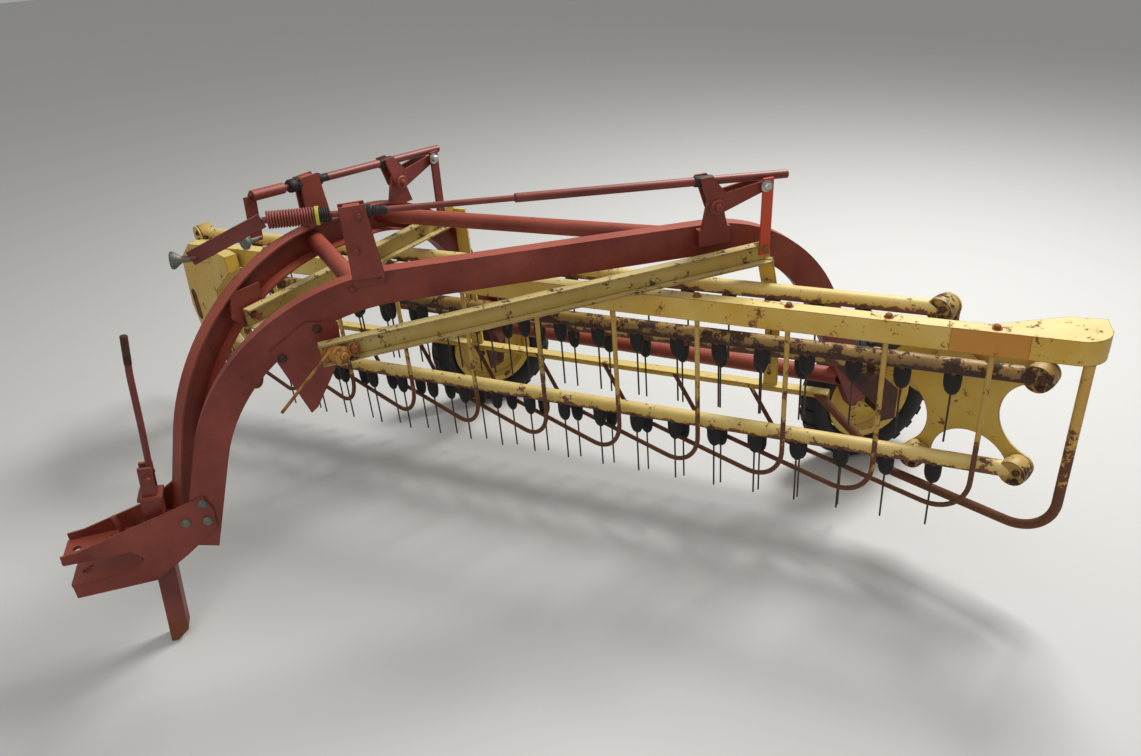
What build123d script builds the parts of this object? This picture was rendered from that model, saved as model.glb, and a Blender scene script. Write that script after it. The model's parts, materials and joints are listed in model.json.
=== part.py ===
# Side delivery rake: an arched channel frame on two wheels and a front stand, with an oblique
# five-bar tined reel hung under it in a basket. X is the machine's left, Y its rear and Z up.
# Every piece is drawn with the ground at Z 0 and lowered at the end, so that the origin is the
# centre of the hitch pin's holes.
from build123d import *
from math import sin, cos, tan, radians, hypot
import os

# Hitch and front stand
PIN_HEIGHT = 420.0
PIN_HOLE = 26.0
TONGUE_GAP = 88.0
TONGUE_THICK = 12.0
HITCH_HALF = 62.0
PLATE = 8.0
STAND_FOOT_Y = 215.0
STAND_LEAN = 6.3
STAND_SIZE = 64.0
STAND_WALL = 5.0
STAND_LENGTH = 636.0
STAND_FIT = 0.4
LEVER_D = 22.0
LEVER_LINE = [(288.0, 664.0), (311.0, 741.0), (330.0, 895.0), (350.0, 1080.0), (372.0, 1216.0)]
LEVER_RADII = (200.0, 700.0, 700.0)

# Arched rails, channels with their webs outboard
RAIL_H = 112.0
RAIL_FLANGE = 55.0
RAIL_WALL = 6.0
RAIL_FOOT = (401.0, 415.0)
RAIL_KNEE = (690.0, 1262.0)
LEFT_RUMP = (2650.0, 1196.0)
LEFT_LEG_END = (3003.0, 383.0)
RIGHT_ANGLE = 36.0
RIGHT_BEND = 356.0
RIGHT_BEND_Y = 298.0
RIGHT_RUMP = (1770.0, 1226.0)
RIGHT_LEG_END = (2141.0, 383.0)
FRONT_RADIUS = 720.0
REAR_RADIUS = 550.0
CROSS_TUBES = {"front": (1121.0, 1205.0, 1235.0, 65.0), "rear": (2286.0, 1534.0, 1222.0, 60.0)}
AXLE_TUBE = (2925.0, 2062.0, 505.0, 70.0)
TUBE_WALL = 5.0

# Wheels
TYRE_D = 600.0
TYRE_W = 130.0
RIM_D = 380.0
SPINDLE_D = 36.0
SPINDLE_FIT = 0.3
LEFT_WHEEL = (-95.0, 3120.0)
RIGHT_WHEEL = (-1235.0, 1700.0)
AXLE_PLATE = 14.0

# Basket, measured along its bars (u) and square to them (w) from the front beam
BASKET_ANGLE = 50.0
BASKET_ORIGIN = (-870.0, 1006.0)
BEAM_START = -735.0
BEAM_END = 2700.0
BEAM_TOP = 1045.0
BEAM_H = 83.0
BEAM_D = 55.0
BEAM_WALL = 5.0
NOSE_END = 2890.0
NOSE_DEPTH = 150.0
NOSE_RADIUS = 90.0
ANGLE_Z = 462.0
ANGLE_LEG = 45.0
ANGLE_WALL = 6.0
ANGLE_START = -1215.0
ANGLE_END = 2020.0

# Reel: its head planes stand askew to the bars
SKEW = 24.0
HUB_W = 191.0
HUB_Z = 680.0
REEL_R = 320.0
REEL_GAP = 12.0
BARS = 5
FIRST_BAR = 32.8
BAR_D = 58.0
BAR_WALL = 5.0
FRONT_PINS_Q = -382.0
REAR_PINS_Q = 2897.0
KNUCKLE_D = 92.0
KNUCKLE_L = 60.0
PIN_D = 20.0
PIN_FIT = 0.3
STAR_OFFSET = 35.0
STAR_LOBE = 45.0
STAR_WAIST = 0.46
SHAFT_D = 34.0
TEETH = 18
TOOTH_PITCH = 160.0
FIRST_TOOTH_Q = -80.0
BOOT_D = 34.0
BOOT_DROP = 100.0
WIRE_D = 7.0
TOOTH_DROP = 300.0
HUB_GAP = 0.5
BEARING_L = 46.0
BEARING_WALL = 8.0

# Strippers and end tubes, each bent in a plane parallel to the head planes
STRIPPERS = 10
FIRST_STRIPPER_Q = -320.0
STRIPPER_PITCH = 320.0
STRIPPER_D = 18.0
STRIPPER_Z = 300.0
STRIPPER_T = 780.0
STRIPPER_RADII = (160.0, 80.0)
END_TUBE_D = 34.0
END_TUBE_Z = 285.0
END_TUBE_Q = {"front": -552.0, "rear": 2830.0}
END_ARM_OFFSET = {"front": -74.0, "rear": 60.0}
END_ARM_THICK = {"front": -56.0, "rear": 8.0}

# Suspension, towers and lift
PIVOT_Z = 1087.0
ARM_H = 75.0
ARM_FLANGE = 38.0
ARM_WALL = 6.0
PIVOT_PIN_D = 24.0
TOWER_HALF = 40.0
TOWER_FOOT = 62.0
ROD_D = 20.0
ROD_TUBE_D = 30.0
ROD_DROP = 26.0
CRANK_Z = 1340.0
CRANK_BACK = 174.0
STUB_FIT = 5.5
ROD_GAP = 40.0
LIFT_PLATE = 8.0
STRAP_W = 38.0
STRAP_THICK = 10.0
STRAP_FOOT_RISE = 12.0
STRAP_PIN_D = 16.0
STUB_D = 14.0
HANDLE_W = 44.0
HANDLE_THICK = 10.0
KNOB_D = 50.0
KNOB_STEM = 18.0
KNOB_LENGTHS = (26.0, 20.0, 8.0)
STRAP_OUT = 35.0
ARM_OUT = 27.0
TOWER_GAP = 30.0
HANGER_W = 55.0
HANGER_THICK = 12.0
HANGER_TIP_DROP = 26.0
HANGER_SHOULDER = (84.0, 982.0)
HANGER_KNEE_Z = 890.0
SPRING_D = 60.0
SPRING_PITCH = 15.0
SPRING_L = 142.0
SPRING_START = 12.0
SIDES = {
    "left": {"rod_n": 23.0, "pivot": 978.0, "arm_end": (2530.0, 1150.0), "tower": 1131.0,
             "tower_top": 1542.0, "fork": (-40.0, 89.0), "lift": (182.0, 50.0), "strap_back": 28.0,
             "rod": (868.0, 1640.0, 2600.0), "handle": (-225.0, -80.0), "hanger_shift": -23.0},
    "right": {"rod_n": 39.0, "pivot": 844.0, "arm_end": (1872.0, 1130.0), "tower": 1200.0,
              "tower_top": 1486.0, "fork": (-40.0, 90.0), "lift": (182.0, 50.0), "strap_back": 82.0,
              "rod": (960.0, 1290.0, 1860.0), "handle": (-12.0, -150.0), "hanger_shift": 12.0}}

os.makedirs("parts", exist_ok=True)
built = {}


def keep(name, shape):
    """Remember a piece under its node name."""
    built[name] = shape


def biggest(shape):
    """The largest solid of a cut, without the scraps."""
    return max(shape.solids(), key=lambda s: s.volume)


def rod(p, q, d, bore=0.0):
    """A round bar or tube from p to q."""
    p, q = Vector(*p), Vector(*q)
    face = Circle(d / 2) - Circle(bore / 2) if bore else Circle(d / 2)
    return extrude(Plane(origin=p, z_dir=q - p) * face, amount=(q - p).length)


def upright(x, y, heading):
    """A vertical working plane: local x runs over the ground, local y is up."""
    dx, dy = -sin(radians(heading)), cos(radians(heading))
    return Plane(origin=(x, y, 0), x_dir=(dx, dy, 0), z_dir=(dy, -dx, 0))


def at(plane, s, z, n=0.0):
    """The point of a working plane at s, z and n in front of it."""
    return plane.from_local_coords(Vector(s, z, n))


def slab(plane, points, start, thick):
    """A flat plate from its outline in a working plane."""
    return extrude(plane * Pos(0, 0, start) * make_face(Polyline(*points, close=True)), amount=thick)


def course(points, radii, offset=0.0):
    """A run of straight lines with round corners, moved sideways by an offset."""
    runs = [(b[0] - a[0], b[1] - a[1]) for a, b in zip(points, points[1:])]
    runs = [(x / hypot(x, y), y / hypot(x, y)) for x, y in runs]
    moved, rounded = [], []
    for i, (x, y) in enumerate(points):
        before, after = runs[max(i - 1, 0)], runs[min(i, len(runs) - 1)]
        nx, ny = -before[1] - after[1], before[0] + after[0]
        reach = offset * 2 / (nx * nx + ny * ny)
        moved.append((x + nx * reach, y + ny * reach))
        if 0 < i < len(points) - 1:
            side = 1 if before[0] * after[1] > before[1] * after[0] else -1
            rounded.append(radii[i - 1] - side * offset)
    return FilletPolyline(*moved, radius=rounded) if rounded else Line(*moved)


def band(points, radii, low, high):
    """The strip between two offsets of a course."""
    near, far = course(points, radii, low), course(points, radii, high)
    return make_face([near, far, Line(near @ 0, far @ 0), Line(near @ 1, far @ 1)])


def channel(plane, points, radii, height, flange, wall, web_at, inward):
    """A channel along a course: its web and two flanges as one solid."""
    seat = plane * Pos(0, 0, web_at)
    shape = extrude(seat * band(points, radii, -height / 2, height / 2), amount=inward * wall)
    for low in (-height / 2, height / 2 - wall):
        shape += extrude(seat * band(points, radii, low, low + wall), amount=inward * flange)
    return shape


def bent_rod(plane, points, radii, d, bore=0.0):
    """A round bar bent in a working plane."""
    path = plane * course(points, radii)
    face = Circle(d / 2) - Circle(bore / 2) if bore else Circle(d / 2)
    return sweep(Plane(origin=path @ 0, z_dir=path % 0) * face, path=path)


# Rails: the right one bends away from the hitch at its own angle
LEFT = upright(HITCH_HALF, 0, 0)
turn = radians(RIGHT_ANGLE)
RIGHT = upright(-HITCH_HALF + RIGHT_BEND * sin(turn), RIGHT_BEND_Y - RIGHT_BEND * cos(turn), RIGHT_ANGLE)
left_line = [RAIL_FOOT, RAIL_KNEE, LEFT_RUMP, LEFT_LEG_END]
right_line = [RAIL_FOOT, RAIL_KNEE, RIGHT_RUMP, RIGHT_LEG_END]
bends = (FRONT_RADIUS, REAR_RADIUS)
left_rail = channel(LEFT, left_line, bends, RAIL_H, RAIL_FLANGE, RAIL_WALL, 0, -1)
right_rail = channel(RIGHT, right_line, bends, RAIL_H, RAIL_FLANGE, RAIL_WALL, 0, 1)
keep("left_rail", left_rail)
keep("right_rail", right_rail)


def rail_top(line, s):
    """The height of a rail's upper face above s, on its long straight run."""
    (s0, z0), (s1, z1) = line[1], line[2]
    return z0 + (z1 - z0) * (s - s0) / (s1 - s0) + RAIL_H / 2


# Cross tubes between the webs, cut to both channels
big = [(-2000, -2000), (6000, -2000), (6000, 4000), (-2000, 4000)]
beyond_left = slab(LEFT, big, -RAIL_WALL, 900)
beyond_right = slab(RIGHT, big, RAIL_WALL, -900)


def between_webs(left_s, right_s, z, d):
    """A round tube welded to the inner face of both webs."""
    p, q = at(LEFT, left_s, z), at(RIGHT, right_s, z)
    way = (q - p).normalized() * 200
    tube = rod(p - way, q + way, d, d - 2 * TUBE_WALL)
    return biggest(tube - beyond_left - beyond_right - left_rail - right_rail)


for place, (left_s, right_s, z, d) in CROSS_TUBES.items():
    keep(place + "_cross_tube", between_webs(left_s, right_s, z, d))
axle_tube = between_webs(*AXLE_TUBE)
keep("axle_tube", axle_tube)

# Axle plates on the webs' outer faces, each with the spindle that carries a wheel
HUB_HALF = 48.0
hub_z = TYRE_D / 2
for side, plane, wheel, leg, out in (("left", LEFT, LEFT_WHEEL, LEFT_LEG_END, 1),
                                     ("right", RIGHT, RIGHT_WHEEL, RIGHT_LEG_END, -1)):
    s = (wheel[1] - plane.origin.Y) / plane.x_dir.Y
    foot = [(leg[0] - 155, 600), (leg[0] - 33, 600), (max(leg[0] + 30, s + 40), leg[1] + 20),
            (s + 40, hub_z - 38), (s - 40, hub_z - 38), (s - 52, hub_z + 40)]
    plate = slab(plane, foot, 0, out * AXLE_PLATE)
    root = at(plane, s, hub_z, out * AXLE_PLATE if side == "left" else 0)
    tip = wheel[0] - HUB_HALF - 16
    spindle = rod(root, (tip, wheel[1], hub_z), SPINDLE_D)
    collar = rod((wheel[0] + HUB_HALF + 0.3, wheel[1], hub_z), (root.X - 6, wheel[1], hub_z), SPINDLE_D + 22)
    keep(side + "_axle", biggest(plate + spindle + collar - left_rail - right_rail))


# Wheels turned about their own axle
def turned(points, wheel):
    """A ring from its half section, set on a wheel's axle."""
    ring = revolve(Plane.XZ * make_face(Polyline(*points, close=True)), Axis.Z)
    return Pos(wheel[0], wheel[1], hub_z) * Rot(0, 90, 0) * ring


half, rim_r, tyre_r = TYRE_W / 2, RIM_D / 2, TYRE_D / 2
bead = half * 0.66
hub_r = SPINDLE_D / 2 + SPINDLE_FIT
tyre_section = [(rim_r + 2, -bead), (tyre_r - 55, -half), (tyre_r - 18, -half + 3), (tyre_r, -half + 24),
                (tyre_r, half - 24), (tyre_r - 18, half - 3), (tyre_r - 55, half), (rim_r + 2, bead),
                (rim_r + 18, bead - 8), (tyre_r - 40, half - 14), (tyre_r - 16, half - 26),
                (tyre_r - 16, 26 - half), (tyre_r - 40, 14 - half), (rim_r + 18, 8 - bead)]
rim_section = [(hub_r, -HUB_HALF), (36, -HUB_HALF), (36, -14), (88, -4), (rim_r - 50, -20),
               (rim_r - 28, -14), (rim_r - 24, 10 - bead), (rim_r - 5, -bead), (rim_r + 1.7, -bead),
               (rim_r + 1.7, 4 - bead), (rim_r - 16, 14 - bead), (rim_r - 16, bead - 14),
               (rim_r + 1.7, bead - 4), (rim_r + 1.7, bead), (rim_r - 5, bead), (rim_r - 24, bead - 10),
               (rim_r - 28, -6), (rim_r - 50, -12), (88, 4), (36, 0), (36, HUB_HALF), (hub_r, HUB_HALF)]
for side, wheel in (("left", LEFT_WHEEL), ("right", RIGHT_WHEEL)):
    keep(side + "_tyre", turned(tyre_section, wheel))
    keep(side + "_rim", turned(rim_section, wheel))

# Hitch head: two side plates joined by a pair of pierced tongues and the stand's guide
low_z = PIN_HEIGHT - TONGUE_GAP / 2 - TONGUE_THICK
high_z = PIN_HEIGHT + TONGUE_GAP / 2
jaw = [(-35, high_z), (-35, high_z + 36), (22, 505), (457, 615), (475, 560), (470, 480), (350, 395),
       (225, 318), (-35, low_z - 44), (-35, low_z + TONGUE_THICK), (176, low_z + TONGUE_THICK + 6),
       (210, PIN_HEIGHT), (176, high_z - 6)]
wing = [(RIGHT_BEND, 589), (457, 615), (475, 560), (470, 480), (400, 430), (RIGHT_BEND, 399)]
right_side = upright(-HITCH_HALF, 0, 0)
rear_cut = slab(right_side, [(RIGHT_BEND_Y, 0), (900, 0), (900, 900), (RIGHT_BEND_Y, 900)], -60, 120)
hitch = slab(LEFT, jaw, 0, PLATE) + (slab(right_side, jaw, 0, -PLATE) - rear_cut)
hitch += slab(RIGHT, wing, 0, -PLATE)
hitch += rod(at(RIGHT, RIGHT_BEND, 399), at(RIGHT, RIGHT_BEND, 589), 2 * PLATE) - slab(
    RIGHT, big, 0, 60) - slab(right_side, big, 0, 60)
for z in (low_z, high_z):
    tongue = Pos(0, -40, z) * Box(2 * HITCH_HALF, 224, TONGUE_THICK,
                                  align=(Align.CENTER, Align.MIN, Align.MIN))
    bore = Pos(0, 0, z) * Cylinder(PIN_HOLE / 2, TONGUE_THICK,
                                   align=(Align.CENTER, Align.CENTER, Align.MIN))
    hitch += tongue - bore
stand_frame = Pos(0, STAND_FOOT_Y, 0) * Rot(-STAND_LEAN, 0, 0)
slot = STAND_SIZE + 2 * STAND_FIT
low_guide = 368.0
guide = Box(2 * HITCH_HALF, STAND_SIZE + 24, 150, align=(Align.CENTER, Align.CENTER, Align.MIN))
right_rail -= stand_frame * Pos(0, 0, low_guide) * guide
keep("right_rail", right_rail)
guide -= Box(slot, slot, 300, align=(Align.CENTER, Align.CENTER, Align.MIN))
guide = stand_frame * Pos(0, 0, low_guide) * guide
hitch = hitch - stand_frame * Pos(0, 0, 200) * Box(
    slot, slot, 500, align=(Align.CENTER, Align.CENTER, Align.MIN))
hitch = biggest(hitch + guide - left_rail - right_rail)
keep("hitch_head", hitch)

# Stand: a square tube with a pointed foot, and the lever that rides on its head
leg = Box(STAND_SIZE, STAND_SIZE, STAND_LENGTH, align=(Align.CENTER, Align.CENTER, Align.MIN))
core = STAND_SIZE - 2 * STAND_WALL
leg -= Pos(0, 0, 30) * Box(core, core, STAND_LENGTH, align=(Align.CENTER, Align.CENTER, Align.MIN))
foot_cut = extrude(Plane.YZ * make_face(Polyline((-60, -60), (60, -60), (60, 78), (-10, 8), (-60, 8),
                                                 close=True)), amount=60, both=True)
leg = biggest(leg - foot_cut)
sink = (stand_frame * leg).bounding_box().min.Z / cos(radians(STAND_LEAN))
stand_frame = stand_frame * Pos(0, 0, -sink)
keep("stand_leg", stand_frame * leg)
cap = stand_frame * Pos(0, 0, STAND_LENGTH) * Box(STAND_SIZE + 14, STAND_SIZE + 14, 12,
                                                  align=(Align.CENTER, Align.CENTER, Align.MIN))
yoke = Box(50, 44, 110, align=(Align.CENTER, Align.CENTER, Align.MIN))
yoke -= Pos(0, 0, 16) * Box(26, 60, 110, align=(Align.CENTER, Align.CENTER, Align.MIN))
yoke = stand_frame * Pos(0, 0, STAND_LENGTH + 12) * yoke
lever = bent_rod(Plane.YZ, LEVER_LINE, LEVER_RADII, LEVER_D)
pin_y, pin_z = [(a + b) / 2 for a, b in zip(*LEVER_LINE[:2])]
cross_pin = rod((-30, pin_y, pin_z), (30, pin_y, pin_z), 14)
keep("stand_lever", cap + yoke + lever + cross_pin)


# Basket working space
def basket(u, w, z):
    """A point of the basket: along the bars, square to them, and up."""
    a = radians(BASKET_ANGLE)
    return Vector(BASKET_ORIGIN[0] + u * cos(a) - w * sin(a), BASKET_ORIGIN[1] + u * sin(a) + w * cos(a), z)


ALONG = basket(1, 0, 0) - basket(0, 0, 0)
ACROSS = basket(0, 1, 0) - basket(0, 0, 0)
BASKET = Plane(origin=basket(0, 0, 0), x_dir=ALONG, z_dir=(0, 0, 1))


def section(u):
    """The plane square to the bars at u: local x is w, local y is up."""
    return Plane(origin=basket(u, 0, 0), x_dir=ACROSS, z_dir=ALONG)


def askew(q):
    """The upright plane the teeth sweep in, which meets the front beam at u = q."""
    p = basket(q, 0, 0)
    return upright(p.X, p.Y, BASKET_ANGLE - SKEW + 90)


HUB_T = HUB_W / sin(radians(SKEW))
mid_w = 0.5

# Front beam: a box section whose outer end widens into a round nose
box = Pos(mid_w, BEAM_TOP - BEAM_H / 2) * (
    Rectangle(BEAM_D, BEAM_H) - Rectangle(BEAM_D - 2 * BEAM_WALL, BEAM_H - 2 * BEAM_WALL))
beam = extrude(section(BEAM_START) * box, amount=BEAM_END - BEAM_START)
cap_face = Pos(mid_w, BEAM_TOP - BEAM_H / 2) * Rectangle(BEAM_D, BEAM_H)
beam += extrude(section(BEAM_START - BEAM_WALL) * cap_face, amount=BEAM_WALL)
front_w = mid_w - BEAM_D / 2
nose_line = [(BEAM_END - 20, front_w), (NOSE_END, front_w), (NOSE_END - 20, NOSE_DEPTH)]
skirt = extrude(BASKET * Pos(0, 0, BEAM_TOP - BEAM_H) * band(nose_line, (NOSE_RADIUS,), 0, BEAM_WALL),
                amount=BEAM_H)
outer = course(nose_line, (NOSE_RADIUS,))
lid_edges = [outer, Line(outer @ 1, (BEAM_END + 60, NOSE_DEPTH - 10)),
             Line((BEAM_END + 60, NOSE_DEPTH - 10), (BEAM_END - 160, front_w + BEAM_D)),
             Line((BEAM_END - 160, front_w + BEAM_D), (BEAM_END - 160, front_w)),
             Line((BEAM_END - 160, front_w), outer @ 0)]
lid = extrude(BASKET * Pos(0, 0, BEAM_TOP - BEAM_WALL) * make_face(lid_edges), amount=BEAM_WALL)
beam = beam + skirt + lid
keep("front_beam", biggest(beam))

# Rear angle bar under the reel's back
ANGLE_W = HUB_W + REEL_R * sin(radians(SKEW)) + BAR_D / 2 + REEL_GAP
corner = [(ANGLE_W, ANGLE_Z + ANGLE_LEG), (ANGLE_W + ANGLE_LEG, ANGLE_Z + ANGLE_LEG),
          (ANGLE_W + ANGLE_LEG, ANGLE_Z), (ANGLE_W + ANGLE_LEG - ANGLE_WALL, ANGLE_Z),
          (ANGLE_W + ANGLE_LEG - ANGLE_WALL, ANGLE_Z + ANGLE_LEG - ANGLE_WALL),
          (ANGLE_W, ANGLE_Z + ANGLE_LEG - ANGLE_WALL)]
angle = extrude(section(ANGLE_START) * make_face(Polyline(*corner, close=True)),
                amount=ANGLE_END - ANGLE_START)
keep("rear_angle", angle)
ANGLE_T = (ANGLE_W + ANGLE_LEG / 2) / sin(radians(SKEW))

# Strippers: round rods from the beam down, under the reel and up to the angle
strip_line = [(mid_w, BEAM_TOP - BEAM_H), (mid_w, STRIPPER_Z), (STRIPPER_T, STRIPPER_Z),
              (ANGLE_T, ANGLE_Z + ANGLE_LEG - 4)]
strippers = []
for i in range(STRIPPERS):
    q = FIRST_STRIPPER_Q + i * STRIPPER_PITCH
    bar = bent_rod(askew(q), strip_line, STRIPPER_RADII, STRIPPER_D)
    strippers.append(biggest(bar - angle - beam))
keep("strippers", Compound(children=strippers))

# End arms: a tapered box at the front end and a plate at the rear, each with its bearing
HEADS = {"front": (askew(FRONT_PINS_Q), -1), "rear": (askew(REAR_PINS_Q), 1)}
ARM_OUTLINES = {
    "front": [(20, BEAM_TOP - BEAM_H + 4), (20, BEAM_TOP - BEAM_WALL), (300, BEAM_TOP - BEAM_WALL),
              (430, 1010), (590, 900), (640, 640), (580, 470), (420, 470), (330, 640), (230, 830)],
    "rear": [(45, BEAM_TOP - BEAM_WALL), (165, BEAM_TOP - BEAM_WALL), (230, 930), (640, 850), (740, 740),
             (760, 640), (600, 600), (470, 600), (380, 640), (280, 800), (200, 880), (45, 965)]}
END_TUBE_KNEE = {"front": (330, END_TUBE_Z), "rear": (600, END_TUBE_Z)}
END_TUBE_TIP = {"front": (470, 485), "rear": (ANGLE_T, ANGLE_Z + ANGLE_LEG - 4)}
END_TUBE_RADII = (150, 90)
for place, (plane, out) in HEADS.items():
    away, thick = END_ARM_OFFSET[place], END_ARM_THICK[place]
    outline = make_face(Polyline(*ARM_OUTLINES[place], close=True))
    arm = extrude(plane * Pos(0, 0, away) * outline, amount=thick)
    if place == "front":
        hollow = plane * Pos(0, 0, away) * offset(outline, amount=-BEARING_WALL)
        arm -= extrude(hollow, amount=thick - out * BEARING_WALL)
    cup = plane * Pos(HUB_T, HUB_Z, away) * Circle(SHAFT_D / 2 + 22)
    arm += extrude(cup, amount=out * BEARING_L)
    bore = plane * Pos(HUB_T, HUB_Z, away - out * 20) * Circle(SHAFT_D / 2 + PIN_FIT)
    arm = biggest(arm - extrude(bore, amount=out * (BEARING_L + 40)) - beam - angle)
    keep("end_arm_" + place, arm)
    tube_line = [(mid_w, BEAM_TOP - BEAM_H), (mid_w, END_TUBE_Z), END_TUBE_KNEE[place], END_TUBE_TIP[place]]
    tube = bent_rod(askew(END_TUBE_Q[place]), tube_line, END_TUBE_RADII, END_TUBE_D, END_TUBE_D - 8)
    keep("end_tube_" + place, biggest(tube - angle - beam - arm))

# Star heads: five lobes joined by hollow sides, with a pin for each bar and a shaft
mid_side = cos(radians(180 / BARS))
hollow_r = (REEL_R ** 2 * (1 + STAR_WAIST ** 2 - 2 * STAR_WAIST * mid_side) - STAR_LOBE ** 2) / (
    2 * REEL_R * (mid_side - STAR_WAIST) + 2 * STAR_LOBE)
turns = [FIRST_BAR + k * 360 / BARS for k in range(BARS)]


def around(angle, reach):
    """A point of a head plane at an angle about the hub, counted forward."""
    return (HUB_T - reach * cos(radians(angle)), HUB_Z + reach * sin(radians(angle)))


star_face = make_face(Polyline(*[around(a, REEL_R) for a in turns], close=True))
for a in turns:
    star_face -= Pos(*around(a + 180 / BARS, STAR_WAIST * REEL_R + hollow_r)) * Circle(hollow_r)
for a in turns:
    star_face += Pos(*around(a, REEL_R)) * Circle(STAR_LOBE)
for place, (plane, out) in HEADS.items():
    star = extrude(plane * Pos(0, 0, out * STAR_OFFSET) * star_face, amount=out * PLATE)
    for a in turns:
        pin = plane * Pos(*around(a, REEL_R), out * STAR_OFFSET) * Circle(PIN_D / 2)
        star += extrude(pin, amount=-out * (STAR_OFFSET + KNUCKLE_L / 2 - 4))
    boss = plane * Pos(HUB_T, HUB_Z, out * (STAR_OFFSET + PLATE)) * Circle(52)
    seat = abs(END_ARM_OFFSET[place]) - STAR_OFFSET - PLATE - HUB_GAP
    star += extrude(boss, amount=out * seat)
    shaft = plane * Pos(HUB_T, HUB_Z, out * (STAR_OFFSET + PLATE)) * Circle(SHAFT_D / 2)
    star += extrude(shaft, amount=out * (seat + HUB_GAP + BEARING_L + 6))
    keep("head_" + place, star)

# Tine bars with a knuckle at each end, and their rubber-mounted teeth
front_plane, rear_plane = HEADS["front"][0], HEADS["rear"][0]
reach_u = 1 / tan(radians(SKEW))
for k, a in enumerate(turns):
    t, z = around(a, REEL_R)
    p, q = at(front_plane, t, z), at(rear_plane, t, z)
    tube = rod(p, q, BAR_D, BAR_D - 2 * BAR_WALL)
    blank = rod(p, q, BAR_D)
    for plane in (front_plane, rear_plane):
        round_end = plane * Pos(t, z, -KNUCKLE_L / 2) * Circle(KNUCKLE_D / 2)
        tube -= extrude(round_end, amount=KNUCKLE_L)
    tube = biggest(tube)
    for plane in (front_plane, rear_plane):
        ring = Circle(KNUCKLE_D / 2) - Circle(PIN_D / 2 + PIN_FIT)
        tube += extrude(plane * Pos(t, z, -KNUCKLE_L / 2) * ring, amount=KNUCKLE_L)
    keep("tine_bar_%d" % (k + 1), tube)
    w = t * sin(radians(SKEW))
    teeth = []
    for j in range(TEETH):
        root = basket(FIRST_TOOTH_Q + j * TOOTH_PITCH - w * reach_u, w, z)
        boot = Pos(root.X, root.Y, z - BOOT_DROP) * Cone(
            BOOT_D / 2 - 4, BOOT_D / 2, BOOT_DROP, align=(Align.CENTER, Align.CENTER, Align.MIN))
        wire = Pos(root.X, root.Y, z - TOOTH_DROP) * Cylinder(
            WIRE_D / 2, TOOTH_DROP - BOOT_DROP + 4, align=(Align.CENTER, Align.CENTER, Align.MIN))
        teeth.append(biggest((boot - blank) + wire))
    keep("teeth_%d" % (k + 1), Compound(children=teeth))

# Suspension arms on their pivots, in front of the basket's hangers
PIVOTS = {}
for side, plane in (("left", LEFT), ("right", RIGHT)):
    PIVOTS[side] = at(plane, SIDES[side]["pivot"], PIVOT_Z, SIDES[side]["rod_n"] + ARM_OUT)
hinge_line = (PIVOTS["left"] - PIVOTS["right"]).normalized()
arms = {}
for side, plane in (("left", LEFT), ("right", RIGHT)):
    size = SIDES[side]
    web_n = size["rod_n"] + ARM_OUT
    end = size["arm_end"]
    run = hypot(end[0] - size["pivot"], end[1] - PIVOT_Z)
    back = ((size["pivot"] - end[0]) * 34 / run, (PIVOT_Z - end[1]) * 34 / run)
    line = [(size["pivot"] + back[0], PIVOT_Z + back[1]), end]
    arm = channel(plane, line, (), ARM_H, ARM_FLANGE, ARM_WALL, web_n, 1)
    strap = end[0] - size["strap_back"]
    arm -= slab(plane, [(strap - STRAP_W, end[1]), (end[0] + 60, end[1]), (end[0] + 60, end[1] + 90),
                        (strap - STRAP_W, end[1] + 90)], web_n + ARM_WALL, ARM_FLANGE)
    arm -= rod(PIVOTS[side] - hinge_line * 60, PIVOTS[side] + hinge_line * 60, PIVOT_PIN_D + 2 * PIN_FIT)
    arm = biggest(arm)
    arms[side] = arm
    keep("lift_arm_" + side, arm)

# Hangers: flat bars from the arms' ends down to the rear angle
left_tip = BASKET.to_local_coords(at(LEFT, SIDES["left"]["arm_end"][0], 0, SIDES["left"]["rod_n"] + 46))
right_tip = BASKET.to_local_coords(at(RIGHT, SIDES["right"]["arm_end"][0], 0, SIDES["right"]["rod_n"] + 46))
angle_top = ANGLE_Z + ANGLE_LEG
hang_w = ANGLE_W + ANGLE_LEG / 2
left_hang = [(left_tip.Y - 4, SIDES["left"]["arm_end"][1] - HANGER_TIP_DROP),
             (left_tip.Y + HANGER_SHOULDER[0], HANGER_SHOULDER[1]), (hang_w, HANGER_KNEE_Z),
             (hang_w, angle_top)]
right_hang = [(hang_w, SIDES["right"]["arm_end"][1] + 20), (hang_w, angle_top)]
for side, tip, line, radii in (("left", left_tip, left_hang, (90, 70)),
                               ("right", right_tip, right_hang, ())):
    start = tip.X - HANGER_W / 2 + SIDES[side]["hanger_shift"]
    bar = extrude(section(start) * band(line, radii, -HANGER_THICK / 2, HANGER_THICK / 2), amount=HANGER_W)
    keep("hanger_" + side, biggest(bar - arms[side] - left_rail - right_rail))

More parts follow.
